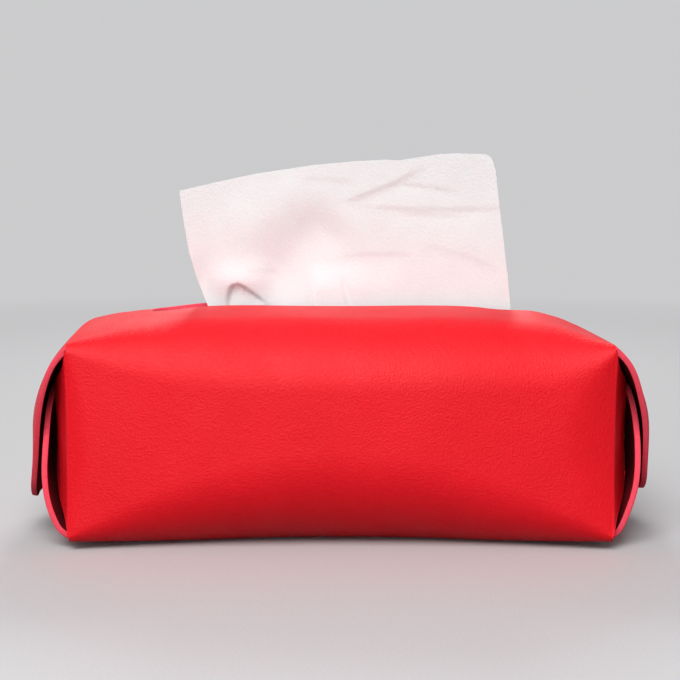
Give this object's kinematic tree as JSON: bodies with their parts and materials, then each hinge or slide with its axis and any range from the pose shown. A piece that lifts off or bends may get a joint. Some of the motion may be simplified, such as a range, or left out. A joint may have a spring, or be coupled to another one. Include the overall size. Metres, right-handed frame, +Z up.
{
  "type": "tissue box cover",
  "caption": "Red leather cover wrapped round a pack of tissues, with a slot in the top, a tissue pulled up and snap-fastened end flaps.",
  "frame": {"origin": "on the surface that the cover stands on, under the middle of its box", "axes": "+X along the cover, towards its right end, +Y from the front panel to the back, +Z up"},
  "size_m": [0.2484, 0.119, 0.1489],
  "materials": {
    "leather": "satin",
    "brass": "polished",
    "thread": "matte",
    "tissue": "matte"
  },
  "bodies": {
    "cover": {"wrap": "leather", "seam_stitches": "thread", "tissue_stack": "tissue"},
    "pulled_tissue": {"pulled_tissue": "tissue"},
    "outer_flap_left": {"top_flap_left": "leather", "snap_cap_left": "brass", "snap_socket_left": "brass", "snap_spring_left": "brass"},
    "inner_flap_left": {"bottom_flap_left": "leather", "snap_stud_left": "brass", "snap_rivet_left": "brass"},
    "side_tab_front_left": {"side_tab_front_left": "leather"},
    "side_tab_back_left": {"side_tab_back_left": "leather"},
    "outer_flap_right": {"top_flap_right": "leather", "snap_cap_right": "brass", "snap_socket_right": "brass", "snap_spring_right": "brass"},
    "inner_flap_right": {"bottom_flap_right": "leather", "snap_stud_right": "brass", "snap_rivet_right": "brass"},
    "side_tab_front_right": {"side_tab_front_right": "leather"},
    "side_tab_back_right": {"side_tab_back_right": "leather"}
  },
  "joints": [
    {"name": "tissue_pull", "type": "slide", "parent": "cover", "child": "pulled_tissue", "axis": [0, 0, 1], "range_m": [0, 0.12]},
    {"name": "outer_flap_left_fold", "type": "hinge", "parent": "cover", "child": "outer_flap_left", "pos_m": [-0.10265, 0, 0.0817], "axis": [0, 1, 0], "range_deg": [0, 180]},
    {"name": "inner_flap_left_fold", "type": "hinge", "parent": "cover", "child": "inner_flap_left", "pos_m": [-0.1025, 0, 0.0045], "axis": [0, -1, 0], "range_deg": [0, 60]},
    {"name": "side_tab_front_left_fold", "type": "hinge", "parent": "cover", "child": "side_tab_front_left", "pos_m": [-0.1025, -0.055, 0.0413], "axis": [0, 0, 1], "range_deg": [0, 63]},
    {"name": "side_tab_back_left_fold", "type": "hinge", "parent": "cover", "child": "side_tab_back_left", "pos_m": [-0.1025, 0.055, 0.0413], "axis": [0, 0, -1], "range_deg": [0, 63]},
    {"name": "outer_flap_right_fold", "type": "hinge", "parent": "cover", "child": "outer_flap_right", "pos_m": [0.10265, 0, 0.0764], "axis": [0, -0.9995, 0.0327], "range_deg": [0, 180]},
    {"name": "inner_flap_right_fold", "type": "hinge", "parent": "cover", "child": "inner_flap_right", "pos_m": [0.1025, 0, 0.0045], "axis": [0, 1, 0], "range_deg": [0, 60]},
    {"name": "side_tab_front_right_fold", "type": "hinge", "parent": "cover", "child": "side_tab_front_right", "pos_m": [0.1025, -0.055, 0.0413], "axis": [0, 0, -1], "range_deg": [0, 63]},
    {"name": "side_tab_back_right_fold", "type": "hinge", "parent": "cover", "child": "side_tab_back_right", "pos_m": [0.1025, 0.055, 0.0413], "axis": [0, 0, 1], "range_deg": [0, 63]}
  ],
  "couplings": [
    {"joint": "inner_flap_left_fold", "follows": "outer_flap_left_fold", "ratio": 0.33333},
    {"joint": "side_tab_front_left_fold", "follows": "outer_flap_left_fold", "ratio": 0.35},
    {"joint": "side_tab_back_left_fold", "follows": "outer_flap_left_fold", "ratio": 0.35},
    {"joint": "inner_flap_right_fold", "follows": "outer_flap_right_fold", "ratio": 0.33333},
    {"joint": "side_tab_front_right_fold", "follows": "outer_flap_right_fold", "ratio": 0.35},
    {"joint": "side_tab_back_right_fold", "follows": "outer_flap_right_fold", "ratio": 0.35}
  ]
}
